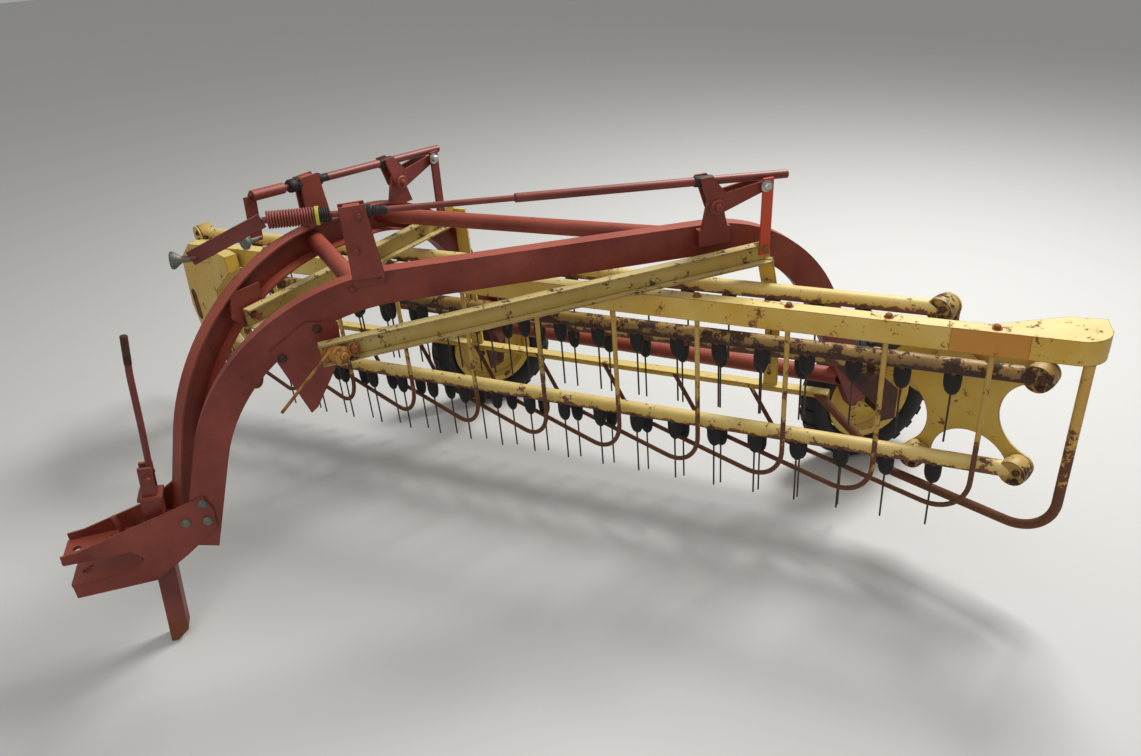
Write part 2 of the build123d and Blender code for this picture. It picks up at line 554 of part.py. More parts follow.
# Towers, pivot plates and lift linkage on each rail
FRAMES = {"left": (LEFT, left_rail, left_line, 0, -RAIL_FLANGE),
          "right": (RIGHT, right_rail, right_line, RAIL_WALL + 2, RAIL_FLANGE)}
PIVOT_PLATES = {"left": [(-188, 1100), (-60, 1178), (40, 1160), (34, 1050), (-83, 868), (-108, 850)],
                "right": [(-80, 1100), (-60, 1185), (60, 1185), (44, 1050), (-40, 1050)]}
for side, (plane, rail, line, seat_n, inward) in FRAMES.items():
    size = SIDES[side]
    n, s, pivot = size["rod_n"], size["tower"], size["pivot"]
    rod_z = size["tower_top"] - ROD_DROP
    strap_s = size["arm_end"][0] - size["strap_back"]
    c = strap_s - CRANK_BACK
    p = (c + size["fork"][0], CRANK_Z + size["fork"][1])
    slope = (p[1] - rod_z) / (p[0] - s)
    rod_start, tube_start, rod_end = size["rod"]

    def rod_at(y):
        """The point of the lift rod's axis above s = y."""
        return at(plane, y, rod_z + (y - s) * slope, n)

    # Tower: two plates on the rail, a foot between them and the block that holds the rod
    top = rail_top(line, s)
    inner, outer_n = n - TOWER_GAP / 2 - LIFT_PLATE, n + TOWER_GAP / 2
    low = {inner: top - 40 if side == "left" else top, outer_n: top}
    tower = []
    for start, base in low.items():
        tower.append(slab(plane, [(s - TOWER_HALF, base), (s + TOWER_FOOT, base),
                                  (s + TOWER_HALF, size["tower_top"]), (s - TOWER_HALF, size["tower_top"])],
                          start, LIFT_PLATE))
    foot = slab(plane, [(s - TOWER_HALF, top), (s + TOWER_FOOT, top), (s + TOWER_FOOT, top + 12),
                        (s - TOWER_HALF, top + 12)], seat_n, outer_n + LIFT_PLATE - seat_n)
    block = slab(plane, [(s - 26, rod_z - 24), (s + 26, rod_z - 24), (s + 26, rod_z + 24), (s - 26, rod_z + 24)],
                 n - TOWER_GAP / 2, TOWER_GAP)
    tower = tower[0] + tower[1] + foot + block - rod(rod_at(s - 60), rod_at(s + 60), ROD_D + 2 * PIN_FIT)

    # Pivot plate that carries the arm's pin
    face_n = 0 if side == "left" else RAIL_FLANGE - PLATE
    bracket = slab(plane, [(pivot + y, z) for y, z in PIVOT_PLATES[side]], face_n, PLATE)
    lean = hinge_line.X * plane.z_dir.X + hinge_line.Y * plane.z_dir.Y
    centre = PIVOTS[side]
    root = centre - hinge_line * ((n + ARM_OUT - face_n - PLATE + 3) / lean)
    bracket += rod(root, centre + hinge_line * 34, PIVOT_PIN_D)

    # Lug of the bell crank
    lug_low = rail_top(line, c) - (RAIL_H / 2 + 10 if side == "left" else 40)
    lug = slab(plane, [(c - 60, lug_low), (c + 60, lug_low), (c + 24, CRANK_Z + 22), (c - 24, CRANK_Z + 22)],
               n - 9, 18)
    if side == "left":
        lug += slab(plane, [(c - 60, lug_low), (c + 60, lug_low), (c + 60, lug_low + 60), (c - 60, lug_low + 60)],
                    0, n + 9)
    filled = extrude(plane * band(line, bends, -RAIL_H / 2, RAIL_H / 2), amount=inward)
    axle = rod(at(plane, c, CRANK_Z, n - 60), at(plane, c, CRANK_Z, n + 60), PIVOT_PIN_D + 2 * PIN_FIT)
    lug = biggest(lug - filled - axle)
    keep("brackets_" + side, Compound(children=[biggest(tower - filled), biggest(bracket - rail), lug]))

    # Bell crank: two plates on a pin, with a stub for the strap
    lift = (c + size["lift"][0], CRANK_Z + size["lift"][1])
    shape = [(c - 24, CRANK_Z - 12), (c + 20, CRANK_Z - 24), (lift[0] + 12, lift[1] - 16),
             (lift[0] + 12, lift[1] + 16), (c + 34, CRANK_Z + 44), (p[0] + 22, p[1] + 18), (p[0] - 22, p[1] + 18)]
    crank = rod(at(plane, c, CRANK_Z, n - ROD_GAP / 2 - LIFT_PLATE),
                at(plane, c, CRANK_Z, n + ROD_GAP / 2 + LIFT_PLATE), PIVOT_PIN_D)
    for start in (n - ROD_GAP / 2 - LIFT_PLATE, n + ROD_GAP / 2):
        crank += slab(plane, shape, start, LIFT_PLATE)
    crank += rod(at(plane, lift[0], lift[1], n + ROD_GAP / 2),
                 at(plane, lift[0], lift[1], n + STRAP_OUT + STRAP_THICK + 4), STUB_D)
    keep("bell_crank_" + side, crank)

    # Strap from the arm's end up to the stub
    foot = (strap_s, size["arm_end"][1] + STRAP_FOOT_RISE)
    strap = slab(plane, [(foot[0] - STRAP_W / 2, foot[1] - 22), (foot[0] + STRAP_W / 2, foot[1] - 22),
                         (lift[0] + STRAP_W / 2, lift[1] + 26), (lift[0] - STRAP_W / 2, lift[1] + 26)],
                 n + STRAP_OUT, STRAP_THICK)
    strap -= rod(at(plane, foot[0], foot[1], n), at(plane, foot[0], foot[1], n + 80), STRAP_PIN_D + 2 * PIN_FIT)
    strap -= rod(at(plane, lift[0], lift[1], n), at(plane, lift[0], lift[1], n + 80), STUB_D + 2 * STUB_FIT)
    keep("strap_" + side, strap)
    strap_pin = rod(at(plane, foot[0], foot[1], n + ARM_OUT + ARM_WALL),
                    at(plane, foot[0], foot[1], n + STRAP_OUT + STRAP_THICK + 6), STRAP_PIN_D)
    built["lift_arm_" + side] = arms[side] + strap_pin

    # Lift rod with its crank handle
    screw = rod(rod_at(rod_start), rod_at(tube_start + 20), ROD_D)
    screw += rod(rod_at(tube_start), rod_at(rod_end), ROD_TUBE_D)
    front = (rod_start, rod_z + (rod_start - s) * slope)
    grip = (front[0] + size["handle"][0], front[1] + size["handle"][1])
    way = Vector(grip[0] - front[0], grip[1] - front[1])
    side_way = (-way.Y / way.length * HANDLE_W / 2, way.X / way.length * HANDLE_W / 2)
    screw += slab(plane, [(front[0] + side_way[0], front[1] + side_way[1]),
                          (front[0] - side_way[0], front[1] - side_way[1]),
                          (grip[0] - side_way[0], grip[1] - side_way[1]),
                          (grip[0] + side_way[0], grip[1] + side_way[1])],
                  n - HANDLE_THICK / 2, HANDLE_THICK)

    # Knob: a stem along the rod's way that flares into a flat round end
    stem, flare, rim = KNOB_LENGTHS
    root = at(plane, grip[0] + KNOB_STEM, grip[1], n)
    ahead = rod_at(0) - rod_at(1)
    knob_face = Plane(origin=root + ahead.normalized() * (stem + KNOB_STEM), z_dir=ahead)
    screw += rod(root, knob_face.origin, KNOB_STEM)
    screw += knob_face * Cone(KNOB_STEM / 2, KNOB_D / 2, flare, align=(Align.CENTER, Align.CENTER, Align.MIN))
    screw += knob_face * Pos(0, 0, flare) * Cylinder(
        KNOB_D / 2, rim, align=(Align.CENTER, Align.CENTER, Align.MIN))
    keep("lift_rod_" + side, screw)
    if side == "left":
        coil_r = SPRING_D / 2 - SPRING_PITCH / 2
        spring_foot = rod_start + SPRING_START
        axis = (rod_at(spring_foot + SPRING_L) - rod_at(spring_foot)).normalized()
        spring = rod(rod_at(spring_foot), rod_at(spring_foot) + axis * SPRING_L, 2 * coil_r, ROD_D)
        for i in range(int(SPRING_L / SPRING_PITCH)):
            spot = Plane(origin=rod_at(spring_foot) + axis * (SPRING_PITCH * (i + 0.5)), z_dir=axis)
            spring += spot * Torus(coil_r, SPRING_PITCH * 0.49)
        keep("spring_left", spring)

# Every piece, lowered so that the pin's centre is the origin
for name, shape in built.items():
    export_step(Pos(0, 0, -PIN_HEIGHT) * shape, "parts/%s.step" % name)
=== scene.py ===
import json
from math import atan2, cos, pi, radians, sin

import bpy
from mathutils import Matrix, Vector


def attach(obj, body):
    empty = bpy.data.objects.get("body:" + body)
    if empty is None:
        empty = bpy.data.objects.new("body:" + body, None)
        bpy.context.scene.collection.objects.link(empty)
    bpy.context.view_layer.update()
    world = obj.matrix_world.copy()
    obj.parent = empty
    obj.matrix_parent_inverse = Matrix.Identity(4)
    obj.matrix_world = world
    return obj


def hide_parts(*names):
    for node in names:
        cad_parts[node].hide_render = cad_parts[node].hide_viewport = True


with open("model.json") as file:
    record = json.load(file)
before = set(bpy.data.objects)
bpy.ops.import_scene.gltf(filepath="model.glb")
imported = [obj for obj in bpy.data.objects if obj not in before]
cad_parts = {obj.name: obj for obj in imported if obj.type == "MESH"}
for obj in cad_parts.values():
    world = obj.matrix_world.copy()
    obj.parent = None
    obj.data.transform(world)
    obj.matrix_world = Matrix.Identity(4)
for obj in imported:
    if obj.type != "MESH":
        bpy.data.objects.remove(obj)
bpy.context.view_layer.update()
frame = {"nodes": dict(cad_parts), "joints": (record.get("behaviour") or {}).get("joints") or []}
nodes = frame["nodes"]
joints = {joint["name"]: joint for joint in frame["joints"]}

# Camera: at a standing person's eye, in front of the machine's left side, with the lens,
# tilt and roll of the photograph.
PIN_HEIGHT = 0.420
EYE = Vector((2.838, 1.0845, 2.3925 - PIN_HEIGHT))
HEADING, PITCH, ROLL = radians(14.0), radians(29.55), radians(4.9)
SENSOR, LENS = 36.0, 28.59
ahead = Vector((-cos(HEADING), sin(HEADING), 0))
right = Vector((sin(HEADING), cos(HEADING), 0))
down = -sin(PITCH) * ahead - cos(PITCH) * Vector((0, 0, 1))
sight = cos(PITCH) * ahead - sin(PITCH) * Vector((0, 0, 1))
image_x = cos(ROLL) * right + sin(ROLL) * down
image_down = -sin(ROLL) * right + cos(ROLL) * down
bpy.ops.object.camera_add(location=EYE)
camera = bpy.context.object
camera.data.sensor_width = SENSOR
camera.data.lens = LENS
camera.rotation_euler = Matrix((image_x, -image_down, -sight)).transposed().to_euler()
bpy.context.scene.camera = camera
bpy.context.scene.view_settings.view_transform = "Standard"


# Floor and light: a sheet of pale matt studio paper, one wide key lamp from the machine's
# rear right, as the sun stands in the photograph, and two weak fills.
def linear(hex_colour):
    """A six-digit sRGB hex colour as a linear RGBA value."""
    parts = [int(hex_colour[i:i + 2], 16) / 255 for i in (0, 2, 4)]
    return [c / 12.92 if c <= 0.04045 else ((c + 0.055) / 1.055) ** 2.4 for c in parts] + [1.0]


def new_material(name):
    """An empty node material."""
    material = bpy.data.materials.new(name)
    material.use_nodes = True
    material.node_tree.nodes.clear()
    return material


def add(material, kind, inputs=None, **settings):
    """Adds a shader node with its settings, values and links."""
    made = material.node_tree.nodes.new(kind)
    for key, value in settings.items():
        setattr(made, key, value)
    for key, value in (inputs or {}).items():
        socket = made.inputs[key]
        if isinstance(value, bpy.types.NodeSocket):
            material.node_tree.links.new(value, socket)
        else:
            socket.default_value = value
    return made


def deselect():
    """Leaves nothing selected."""
    bpy.ops.object.select_all(action="DESELECT")


FLOOR_DROP = 0.0005
deselect()
bpy.ops.mesh.primitive_plane_add(size=60, location=(0, 1.5, -PIN_HEIGHT - FLOOR_DROP))
floor = bpy.context.object
floor.name = "studio_floor"
paper = new_material("matt studio paper")
grain = add(paper, "ShaderNodeTexNoise", {"Scale": 3.0, "Detail": 3.0})
tint = add(paper, "ShaderNodeMix", {"Factor": grain.outputs["Fac"], "A": linear("cfceca"),
                                    "B": linear("d6d5d1")}, data_type="RGBA")
sheet_shader = add(paper, "ShaderNodeBsdfPrincipled", {"Base Color": tint.outputs["Result"],
                                                       "Roughness": 0.95})
add(paper, "ShaderNodeOutputMaterial", {"Surface": sheet_shader.outputs["BSDF"]})
floor.data.materials.append(paper)

world = bpy.data.worlds.new("soft room")
bpy.context.scene.world = world
world.use_nodes = True
world.node_tree.nodes["Background"].inputs["Color"].default_value = linear("ececec")
world.node_tree.nodes["Background"].inputs["Strength"].default_value = 0.42
LAMP_AIM = Vector((-0.3, 1.6, 0.2))
LAMPS = [("key", (-1.6, 5.2, 4.8), 1.8, 330), ("fill", (5.0, -1.0, 4.0), 4.0, 85),
         ("top", (0.5, 1.5, 6.0), 5.0, 45)]
for name, place, size, power in LAMPS:
    bpy.ops.object.light_add(type="AREA", location=place)
    lamp = bpy.context.object
    lamp.name = name
    lamp.data.size = size
    lamp.data.energy = power
    lamp.rotation_euler = (LAMP_AIM - Vector(place)).to_track_quat("-Z", "Y").to_euler()


# Frame: two arched channel rails, tubes and plates in enamel that was sprayed on welded
# steel and stood outdoors for decades. The paint is mottled pale in patches, upper faces are
# painted lighter pink as painted sunlight, and rust shows along edges, in chips and low on the stand.
def weathered_enamel_with_painted_light(name, fresh, faded_and_sunlit, rust_amount, rust_dark="4a2418", rust_light="8a4a2a", gloss=0.45,
                     worn_below=None, under_rust=0.0):
    """Old enamel with patchy fading, painted sunlight lightening faces that look up, rust chips, worn edges
    and dust.

    worn_below gives two heights in metres: bare rust below the first, none above the second.
    under_rust adds rust to faces that look down."""
    m = new_material(name)
    place = add(m, "ShaderNodeTexCoord").outputs["Object"]
    cloud = add(m, "ShaderNodeTexNoise", {"Vector": place, "Scale": 4.0, "Detail": 6.0, "Roughness": 0.6})
    speck = add(m, "ShaderNodeTexNoise", {"Vector": place, "Scale": 95.0, "Detail": 4.0, "Roughness": 0.7})
    patch = add(m, "ShaderNodeTexNoise", {"Vector": place, "Scale": 17.0, "Detail": 8.0, "Roughness": 0.68})
    fine = add(m, "ShaderNodeTexNoise", {"Vector": place, "Scale": 420.0, "Detail": 2.0})
    geometry = add(m, "ShaderNodeNewGeometry")
    up = add(m, "ShaderNodeSeparateXYZ", {"Vector": geometry.outputs["Normal"]})
    # Painted sunlight: the more a face looks up, the further its colour moves to the lighter second colour
    painted_top_light = add(m, "ShaderNodeMapRange", {"Value": up.outputs["Z"], "From Min": 0.1, "From Max": 0.95,
                                           "To Min": 0.0, "To Max": 0.55})
    mottle_and_top_light = add(m, "ShaderNodeMath", {0: cloud.outputs["Fac"], 1: painted_top_light.outputs["Result"]},
                  operation="ADD")
    soft = add(m, "ShaderNodeMapRange", {"Value": mottle_and_top_light.outputs["Value"], "From Min": 0.35,
                                         "From Max": 1.05})
    coat = add(m, "ShaderNodeMix", {"Factor": soft.outputs["Result"], "A": linear(fresh),
                                    "B": linear(faded_and_sunlit)}, data_type="RGBA")
    # Edges are found by how far a rounded normal leaves the true one
    rounded = add(m, "ShaderNodeBevel", {"Radius": 0.006}, samples=4)
    spread = add(m, "ShaderNodeVectorMath", {0: rounded.outputs["Normal"], 1: geometry.outputs["Normal"]},
                 operation="DOT_PRODUCT")
    edge = add(m, "ShaderNodeMapRange", {"Value": spread.outputs["Value"], "From Min": 0.995,
                                         "From Max": 0.86, "To Min": 0.0, "To Max": 0.24})
    chips = add(m, "ShaderNodeMath", {0: patch.outputs["Fac"], 1: edge.outputs["Result"]}, operation="ADD")
    chips = add(m, "ShaderNodeMath", {0: speck.outputs["Fac"], 1: 0.32, 2: chips.outputs["Value"]},
                operation="MULTIPLY_ADD")
    if under_rust:
        low_side = add(m, "ShaderNodeMapRange", {"Value": up.outputs["Z"], "From Min": 0.25,
                                                 "From Max": -0.75, "To Min": 0.0,
                                                 "To Max": under_rust})
        chips = add(m, "ShaderNodeMath", {0: chips.outputs["Value"], 1: low_side.outputs["Result"]},
                    operation="ADD")
    if worn_below:
        height = add(m, "ShaderNodeSeparateXYZ", {"Vector": place})
        bare = add(m, "ShaderNodeMapRange", {"Value": height.outputs["Z"], "From Min": worn_below[0],
                                             "From Max": worn_below[1], "To Min": 0.4, "To Max": 0.0})
        chips = add(m, "ShaderNodeMath", {0: chips.outputs["Value"], 1: bare.outputs["Result"]},
                    operation="ADD")
    start = 0.905 - rust_amount
    rusty = add(m, "ShaderNodeMapRange", {"Value": chips.outputs["Value"], "From Min": start,
                                          "From Max": start + 0.045})
    rust_tone = add(m, "ShaderNodeMix", {"Factor": speck.outputs["Fac"], "A": linear(rust_dark),
                                         "B": linear(rust_light)}, data_type="RGBA")
    skin = add(m, "ShaderNodeMix", {"Factor": rusty.outputs["Result"], "A": coat.outputs["Result"],
                                    "B": rust_tone.outputs["Result"]}, data_type="RGBA")
    sheen = add(m, "ShaderNodeMapRange", {"Value": rusty.outputs["Result"], "To Min": gloss, "To Max": 0.88})
    pit = add(m, "ShaderNodeMath", {0: rusty.outputs["Result"], 1: -0.6, 2: fine.outputs["Fac"]},
              operation="MULTIPLY_ADD")
    relief = add(m, "ShaderNodeBump", {"Height": pit.outputs["Value"], "Strength": 0.25, "Distance": 0.0008})
    shader = add(m, "ShaderNodeBsdfPrincipled", {"Base Color": skin.outputs["Result"],
                                                 "Roughness": sheen.outputs["Result"], "IOR": 1.5,
                                                 "Normal": relief.outputs["Normal"]})
    add(m, "ShaderNodeOutputMaterial", {"Surface": shader.outputs["BSDF"]})
    return m


def paint(names, material):
    """Gives CAD nodes one finish."""
    for name in names:
        node = nodes[name]
        node.data.materials.clear()
        node.data.materials.append(material)


# The lighter second colour of each enamel stands both for paint worn pale and for painted sunlight on upward
# faces
red = weathered_enamel_with_painted_light("sprayed red enamel", "64190d", "a04c38", 0.10, "35180f", "6a3a24", 0.52)
stand_red = weathered_enamel_with_painted_light("worn red enamel", "5b1810", "8b4233", 0.12, worn_below=(-0.37, -0.30))
bright_red = weathered_enamel_with_painted_light("fresh red enamel", "b23a22", "cf5138", 0.0)
paint(["left_rail", "right_rail", "hitch_head", "front_cross_tube", "rear_cross_tube", "axle_tube",
       "brackets_left", "brackets_right", "bell_crank_left", "bell_crank_right", "strap_right"], red)
paint(["stand_leg", "stand_lever"], stand_red)
paint(["strap_left"], bright_red)


# Fasteners of the frame: zinc-plated round-head and hexagon bolts, dulled to grey-green, and
# painted ones. Each head is turned up ring by ring, with its washer, and pressed on its plate.
def lathe(rings, sides=24, smooth=35):
    """A round piece at the origin, drawn up along Z ring by ring from (radius, height) pairs."""
    deselect()
    bpy.ops.mesh.primitive_circle_add(vertices=sides, radius=rings[0][0], fill_type="NGON",
                                      location=(0, 0, rings[0][1]))
    piece = bpy.context.object
    bpy.ops.object.transform_apply(location=True, rotation=True, scale=True)
    bpy.ops.object.mode_set(mode="EDIT")
    bpy.ops.mesh.select_all(action="SELECT")
    for (r0, z0), (r1, z1) in zip(rings, rings[1:]):
        bpy.ops.mesh.extrude_region_move(TRANSFORM_OT_translate={"value": (0, 0, z1 - z0)})
        bpy.ops.transform.resize(value=(r1 / r0, r1 / r0, 1), center_override=(0, 0, 0))
    bpy.ops.mesh.select_all(action="SELECT")
    bpy.ops.mesh.normals_make_consistent(inside=False)
    bpy.ops.object.mode_set(mode="OBJECT")
    bpy.ops.object.shade_smooth_by_angle(angle=radians(smooth))
    return piece


def seal():
    """Puts the active piece's place, turn and size into its mesh."""
    bpy.ops.object.transform_apply(location=True, rotation=True, scale=True)


def facing(place, way, turn=0.0):
    """A place whose Z axis points along a way."""
    lean = Vector(way).to_track_quat("Z", "Y").to_matrix().to_4x4()
    return Matrix.Translation(place) @ lean @ Matrix.Rotation(turn, 4, "Z")


def strewn(model, spots):
    """One object out of copies of a model, one at each spot. The model itself goes."""
    deselect()
    for spot in spots:
        twin = model.copy()
        twin.data = model.data.copy()
        bpy.context.collection.objects.link(twin)
        twin.matrix_world = spot
        twin.select_set(True)
        bpy.context.view_layer.objects.active = twin
    if len(spots) > 1:
        bpy.ops.object.join()
    seal()
    whole = bpy.context.object
    bpy.data.objects.remove(model)
    return whole


def hang(piece, name, body, material):
    """Names a finished piece, gives it its finish and hangs it on its body."""
    piece.name = name
    piece.data.name = name
    piece.data.materials.clear()
    piece.data.materials.append(material)
    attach(piece, body)
    return piece


def hex_bolt(width, sink=0.002):
    """A hexagon head with a chamfered top on a round washer, seated at Z 0."""
    head = lathe([(width * 0.5, width * 0.1), (width * 0.577, width * 0.16), (width * 0.577, width * 0.6),
                  (width * 0.48, width * 0.68)], sides=6, smooth=20)
    washer = lathe([(width * 0.86, -sink), (width * 0.86, width * 0.1), (width * 0.8, width * 0.13)],
                   sides=20)
    deselect()
    head.select_set(True)
    washer.select_set(True)
    bpy.context.view_layer.objects.active = head
    bpy.ops.object.join()
    return bpy.context.object


def round_bolt(width, sink=0.002):
    """A low domed head, seated at Z 0."""
    r = width / 2
    return lathe([(r, -sink), (r, r * 0.12), (r * 0.94, r * 0.3), (r * 0.78, r * 0.46), (r * 0.5, r * 0.58),
                  (r * 0.16, r * 0.63)], sides=22)


def rusted_steel(name, dark, light, metal=0.25, roughness=0.72):
    """Bare steel under a thin brown crust."""
    m = new_material(name)
    place = add(m, "ShaderNodeTexCoord").outputs["Object"]
    cloud = add(m, "ShaderNodeTexNoise", {"Vector": place, "Scale": 22.0, "Detail": 8.0, "Roughness": 0.7})
    fine = add(m, "ShaderNodeTexNoise", {"Vector": place, "Scale": 260.0, "Detail": 4.0})
    tone = add(m, "ShaderNodeMapRange", {"Value": cloud.outputs["Fac"], "From Min": 0.32, "From Max": 0.68})
    skin = add(m, "ShaderNodeMix", {"Factor": tone.outputs["Result"], "A": linear(dark), "B": linear(light)},
               data_type="RGBA")
    relief = add(m, "ShaderNodeBump", {"Height": fine.outputs["Fac"], "Strength": 0.35, "Distance": 0.0008})
    shader = add(m, "ShaderNodeBsdfPrincipled", {"Base Color": skin.outputs["Result"], "Metallic": metal,
                                                 "Roughness": roughness, "Normal": relief.outputs["Normal"]})
    add(m, "ShaderNodeOutputMaterial", {"Surface": shader.outputs["BSDF"]})
    return m


grey_zinc = rusted_steel("dulled zinc plate", "4f524a", "7d8074", 0.5, 0.55)
bright_zinc = rusted_steel("bright zinc plate", "8f9294", "c9cbcc", 0.85, 0.32)
dark_steel = rusted_steel("brown rusted steel", "2a1a14", "5a3423")
orange_rust = rusted_steel("orange rusted steel", "6b3a1c", "a8662f", 0.1, 0.8)
greasy_steel = rusted_steel("steel under old grease", "0f0c0b", "2d211b", 0.2, 0.6)
paint(["left_axle", "right_axle"], dark_steel)

# Working planes of the two rails, as the cranks' own axes give them
RAIL_ROOTS = {"left": (0.062, 0.0), "right": (0.14725, 0.00999)}
rail_out = {side: Vector(joints["crank_" + side]["axis"]).normalized() for side in RAIL_ROOTS}


def on_rail(side, s, z, n):
    """The point of a rail's plane at s along it, z over the ground and n in front of it."""
    out = rail_out[side]
    along = Vector((-out.y, out.x, 0))
    return Vector((*RAIL_ROOTS[side], -PIN_HEIGHT)) + along * s + out * n + Vector((0, 0, z))


PLATE = 0.008
HITCH_BOLTS = [(0.447, 0.590), (0.377, 0.527), (0.445, 0.517)]
PIVOT_BOLTS = [(0.949, 1.150), (0.822, 1.070)]
TOWER_FACE = 0.046
TOWER_BOLTS = [(1.146, 1.509), (1.119, 1.401)]
FOOT_BOLTS = [(1.084, 1.262), (1.182, 1.280)]
spots = [facing(on_rail("left", s, z, PLATE), (1, 0, 0)) for s, z in HITCH_BOLTS]
hang(strewn(round_bolt(0.034), spots), "hitch_bolts", "frame", grey_zinc)
spots = [facing(on_rail("left", s, z, PLATE), (1, 0, 0)) for s, z in PIVOT_BOLTS]
hang(strewn(round_bolt(0.030), spots), "pivot_bolts", "frame", dark_steel)
spots = [facing(on_rail("left", s, z, TOWER_FACE), (1, 0, 0), 0.3) for s, z in TOWER_BOLTS]
spots += [facing(on_rail("left", s, z, 0.0), (1, 0, 0), 0.2) for s, z in FOOT_BOLTS]
hang(strewn(hex_bolt(0.019), spots), "tower_bolts", "frame", red)


# Lift rods: painted steel rods, each carried in a tower by a sleeve black with old grease,
# through which the rod slides.
ROD_SPOTS = {"left": (1.131, 1.516, 0.023), "right": (1.200, 1.460, 0.039)}
rod_way = {side: Vector(joints["rod_" + side]["axis"]).normalized() for side in ROD_SPOTS}


def on_rod(side, s):
    """The point of a lift rod's axis at s along its rail."""
    s0, z0, n = ROD_SPOTS[side]
    way = rod_way[side]
    return on_rail(side, s, z0 + (s - s0) * way.z / Vector((way.x, way.y)).length, n)


red_rod = weathered_enamel_with_painted_light("red enamel on a greasy rod", "56170e", "8f4435", 0.07, rust_dark="1c1512",
                           rust_light="3a241b")
paint(["lift_rod_left", "lift_rod_right"], red_rod)
# The sleeves stay with the towers, and the rods slide through them
SLEEVES = {"left": [(1.158, 1.190, 0.021), (1.190, 1.235, 0.015)],
           "right": [(1.120, 1.172, 0.024), (1.228, 1.262, 0.022), (1.262, 1.300, 0.015)]}
for side, rows in SLEEVES.items():
    parts = []
    for low, high, r in rows:
        length = high - low
        ring = lathe([(r * 0.86, 0), (r, length * 0.12), (r, length * 0.42), (r * 0.93, length * 0.5),
                      (r, length * 0.58), (r, length * 0.88), (r * 0.86, length)])
        parts.append(strewn(ring, [facing(on_rod(side, low), rod_way[side])]))
    deselect()
    for part in parts:
        part.select_set(True)
        bpy.context.view_layer.objects.active = part
    bpy.ops.object.join()
    hang(bpy.context.object, "rod_sleeves_" + side, "frame", greasy_steel)
front_sleeve = lathe([(0.0175, 0), (0.0195, 0.002), (0.0195, 0.131), (0.0175, 0.133)])
hang(strewn(front_sleeve, [facing(on_rod("right", 0.968), rod_way["right"])]), "rod_tube_right",
     "rod_right", red)

# Knobs: cast hand knobs, a stem that flares into a flat round end, worn to grey metal
KNOB_SPOTS = {"left": (0.643, 1.4555), "right": (0.948, 1.3295)}
for side, (s, z) in KNOB_SPOTS.items():
    knob = lathe([(0.0098, 0.0), (0.0102, 0.024), (0.0125, 0.028), (0.0195, 0.037), (0.0262, 0.045),
                  (0.0268, 0.050), (0.0262, 0.0545), (0.0225, 0.057), (0.012, 0.0575), (0.010, 0.0555)],
                 sides=32)
    start = on_rail(side, s, z, ROD_SPOTS[side][2]) 
    hang(strewn(knob, [facing(start, -rod_way[side])]), "knob_" + side, "rod_" + side,
         grey_zinc)


# Springs on the near rod: a long coil of painted wire, then a short black one, parted by a
# few turns of yellow plastic tie.
def coil(turns, pitch, radius, wire):
    """A helical spring at the origin, round wire swept up along Z."""
    deselect()
    bpy.ops.mesh.primitive_circle_add(vertices=8, radius=wire, fill_type="NGON", location=(radius, 0, 0),
                                      rotation=(pi / 2, 0, 0))
    spring = bpy.context.object
    seal()
    sweep = spring.modifiers.new("sweep", "SCREW")
    sweep.axis = "Z"
    sweep.screw_offset = pitch
    sweep.iterations = turns
    sweep.steps = 20
    sweep.render_steps = 20
    bpy.ops.object.modifier_apply(modifier="sweep")
    bpy.ops.object.mode_set(mode="EDIT")
    bpy.ops.mesh.select_all(action="SELECT")
    bpy.ops.mesh.normals_make_consistent(inside=False)
    bpy.ops.object.mode_set(mode="OBJECT")
    bpy.ops.object.shade_smooth_by_angle(angle=radians(60))
    return spring


LONG_SPRING = (0.882, 17, 0.0082, 0.0238, 0.0036)
SHORT_SPRING = (1.034, 5, 0.0066, 0.0212, 0.0029)
for name, (s, turns, pitch, radius, wire), finish, slot in (
        ("long_spring", LONG_SPRING, red, "red_paint"),
        ("short_spring", SHORT_SPRING, greasy_steel, "rusty_steel")):
    spring = strewn(coil(turns, pitch, radius, wire), [facing(on_rod("left", s), rod_way["left"])])
    hang(spring, name, "rod_left", finish)
    if name == "long_spring":
        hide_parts("spring_left")


def plain_plastic(name, colour, roughness):
    """Dull coloured plastic or rubber with a faint bloom."""
    m = new_material(name)
    place = add(m, "ShaderNodeTexCoord").outputs["Object"]
    cloud = add(m, "ShaderNodeTexNoise", {"Vector": place, "Scale": 60.0, "Detail": 4.0})
    skin = add(m, "ShaderNodeMix", {"Factor": cloud.outputs["Fac"], "A": linear(colour),
                                    "B": [c * 0.6 for c in linear(colour)[:3]] + [1.0]}, data_type="RGBA")
    shader = add(m, "ShaderNodeBsdfPrincipled", {"Base Color": skin.outputs["Result"],
                                                 "Roughness": roughness})
    add(m, "ShaderNodeOutputMaterial", {"Surface": shader.outputs["BSDF"]})
    return m


yellow_twine = plain_plastic("yellow polypropylene twine", "c9c23a", 0.6)
TIE_AT = (1.024, 1.028, 1.032)
TIE_RADIUS, TWINE_RADIUS = 0.0265, 0.0026
deselect()
bpy.ops.mesh.primitive_torus_add(major_radius=TIE_RADIUS, minor_radius=TWINE_RADIUS, major_segments=40,
                                 minor_segments=10)
turn_of_tie = bpy.context.object
bpy.ops.object.shade_smooth_by_angle(angle=radians(60))
ties = [facing(on_rod("left", s), rod_way["left"] + Vector((0.05 * i, 0, 0.04)))
        for i, s in enumerate(TIE_AT)]
hang(strewn(turn_of_tie, ties), "spring_tie", "rod_left", yellow_twine)

